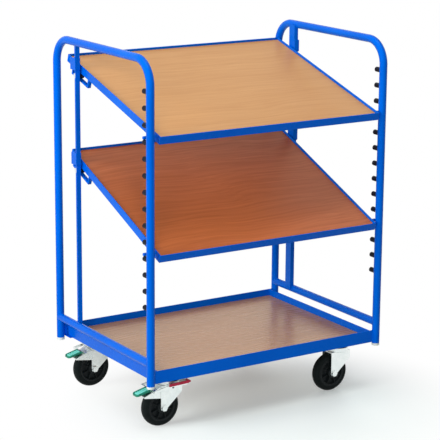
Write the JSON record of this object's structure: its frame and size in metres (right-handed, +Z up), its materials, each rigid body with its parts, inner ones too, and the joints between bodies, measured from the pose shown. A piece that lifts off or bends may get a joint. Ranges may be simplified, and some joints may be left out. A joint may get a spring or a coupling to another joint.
{
  "type": "shelf trolley",
  "caption": "Shelf trolley with bent-tube side hoops, a base tray on swivel casters and tilting wooden shelves that rest on rows of pegs.",
  "frame": {"origin": "on the floor under the middle of the four legs", "axes": "+Z up, +X along the front from left to right, +Y to the rear"},
  "size_m": [0.8705, 0.6109, 1.1495],
  "materials": {
    "blue_paint": "gloss powder coat",
    "beech_board": "beech decor, satin",
    "black_rubber": "satin",
    "grey_hub": "matte",
    "black_plastic": "matte",
    "pale_plastic": "matte",
    "green_plastic": "satin",
    "red_plastic": "satin",
    "zinc_steel": "bright zinc plate"
  },
  "bodies": {
    "frame": {"base_board": "beech_board", "base_front_rail": "blue_paint", "base_left_rail": "blue_paint", "base_rear_rail": "blue_paint", "base_right_rail": "blue_paint", "caster_kingpins": "zinc_steel", "caster_mount_plates": "blue_paint", "caster_screws": "zinc_steel", "caster_top_plates": "zinc_steel", "left_crossbar": "blue_paint", "left_hoop": "blue_paint", "left_rear_post": "blue_paint", "leg_end_plugs": "pale_plastic", "pivot_bolts": "zinc_steel", "pivot_saddles": "blue_paint", "right_crossbar": "blue_paint", "right_hoop": "blue_paint", "right_rear_post": "blue_paint", "shelf_pegs": "black_plastic"},
    "front_left_swivel": {"front_left_fork": "zinc_steel", "front_left_axle": "zinc_steel", "front_left_brake_guard": "zinc_steel"},
    "front_left_wheel": {"front_left_hub": "grey_hub", "front_left_tyre": "black_rubber"},
    "front_left_brake": {"front_left_brake_lever": "zinc_steel", "front_left_brake_pedal": "green_plastic", "front_left_brake_toe_pad": "red_plastic"},
    "front_right_swivel": {"front_right_fork": "zinc_steel", "front_right_axle": "zinc_steel"},
    "front_right_wheel": {"front_right_hub": "grey_hub", "front_right_tyre": "black_rubber"},
    "rear_left_swivel": {"rear_left_fork": "zinc_steel", "rear_left_axle": "zinc_steel", "rear_left_brake_guard": "zinc_steel"},
    "rear_left_wheel": {"rear_left_hub": "grey_hub", "rear_left_tyre": "black_rubber"},
    "rear_left_brake": {"rear_left_brake_lever": "zinc_steel", "rear_left_brake_pedal": "green_plastic", "rear_left_brake_toe_pad": "red_plastic"},
    "rear_right_swivel": {"rear_right_fork": "zinc_steel", "rear_right_axle": "zinc_steel"},
    "rear_right_wheel": {"rear_right_hub": "grey_hub", "rear_right_tyre": "black_rubber"},
    "top_shelf_pivot": {"top_pivot_bushes": "black_plastic"},
    "top_shelf": {"top_shelf_board": "beech_board", "top_shelf_front_lugs": "blue_paint", "top_shelf_front_rail": "blue_paint", "top_shelf_hanger_loops": "blue_paint", "top_shelf_left_rail": "blue_paint", "top_shelf_rear_rail": "blue_paint", "top_shelf_right_rail": "blue_paint"},
    "middle_shelf_pivot": {"middle_pivot_bushes": "black_plastic"},
    "middle_shelf": {"middle_shelf_board": "beech_board", "middle_shelf_front_lugs": "blue_paint", "middle_shelf_front_rail": "blue_paint", "middle_shelf_hanger_loops": "blue_paint", "middle_shelf_left_rail": "blue_paint", "middle_shelf_rear_rail": "blue_paint", "middle_shelf_right_rail": "blue_paint"}
  },
  "joints": [
    {"name": "front_left_swivel_turn", "type": "hinge", "parent": "frame", "child": "front_left_swivel", "pos_m": [-0.319, -0.22, 0.145], "axis": [0, 0, 1], "continuous": true},
    {"name": "front_left_wheel_roll", "type": "hinge", "parent": "front_left_swivel", "child": "front_left_wheel", "pos_m": [-0.349, -0.22, 0.0625], "axis": [0, 1, 0], "continuous": true},
    {"name": "front_left_brake_rock", "type": "hinge", "parent": "front_left_swivel", "child": "front_left_brake", "pos_m": [-0.319, -0.22, 0.136], "axis": [0, 1, 0], "range_deg": [0, 8]},
    {"name": "front_right_swivel_turn", "type": "hinge", "parent": "frame", "child": "front_right_swivel", "pos_m": [0.319, -0.22, 0.145], "axis": [0, 0, 1], "continuous": true},
    {"name": "front_right_wheel_roll", "type": "hinge", "parent": "front_right_swivel", "child": "front_right_wheel", "pos_m": [0.289, -0.22, 0.0625], "axis": [0, 1, 0], "continuous": true},
    {"name": "rear_left_swivel_turn", "type": "hinge", "parent": "frame", "child": "rear_left_swivel", "pos_m": [-0.319, 0.22, 0.145], "axis": [0, 0, 1], "continuous": true},
    {"name": "rear_left_wheel_roll", "type": "hinge", "parent": "rear_left_swivel", "child": "rear_left_wheel", "pos_m": [-0.349, 0.22, 0.0625], "axis": [0, 1, 0], "continuous": true},
    {"name": "rear_left_brake_rock", "type": "hinge", "parent": "rear_left_swivel", "child": "rear_left_brake", "pos_m": [-0.319, 0.22, 0.136], "axis": [0, 1, 0], "range_deg": [0, 8]},
    {"name": "rear_right_swivel_turn", "type": "hinge", "parent": "frame", "child": "rear_right_swivel", "pos_m": [0.319, 0.22, 0.145], "axis": [0, 0, 1], "continuous": true},
    {"name": "rear_right_wheel_roll", "type": "hinge", "parent": "rear_right_swivel", "child": "rear_right_wheel", "pos_m": [0.289, 0.22, 0.0625], "axis": [0, 1, 0], "continuous": true},
    {"name": "top_shelf_tilt", "type": "hinge", "parent": "frame", "child": "top_shelf_pivot", "pos_m": [0, 0.188, 1.02863], "axis": [-1, 0, 0], "range_deg": [0, 7.6]},
    {"name": "top_shelf_shift", "type": "slide", "parent": "top_shelf_pivot", "child": "top_shelf", "axis": [0, 0.9573, 0.289], "range_m": [0, 0.04255]},
    {"name": "middle_shelf_tilt", "type": "hinge", "parent": "frame", "child": "middle_shelf_pivot", "pos_m": [0, 0.188, 0.7292], "axis": [-1, 0, 0], "range_deg": [0, 5.8]},
    {"name": "middle_shelf_shift", "type": "slide", "parent": "middle_shelf_pivot", "child": "middle_shelf", "axis": [0, 0.9232, 0.3843], "range_m": [0, 0.04255]}
  ],
  "couplings": [
    {"joint": "top_shelf_shift", "follows": "top_shelf_tilt", "m_per_rad": 0.32},
    {"joint": "middle_shelf_shift", "follows": "middle_shelf_tilt", "m_per_rad": 0.42}
  ]
}
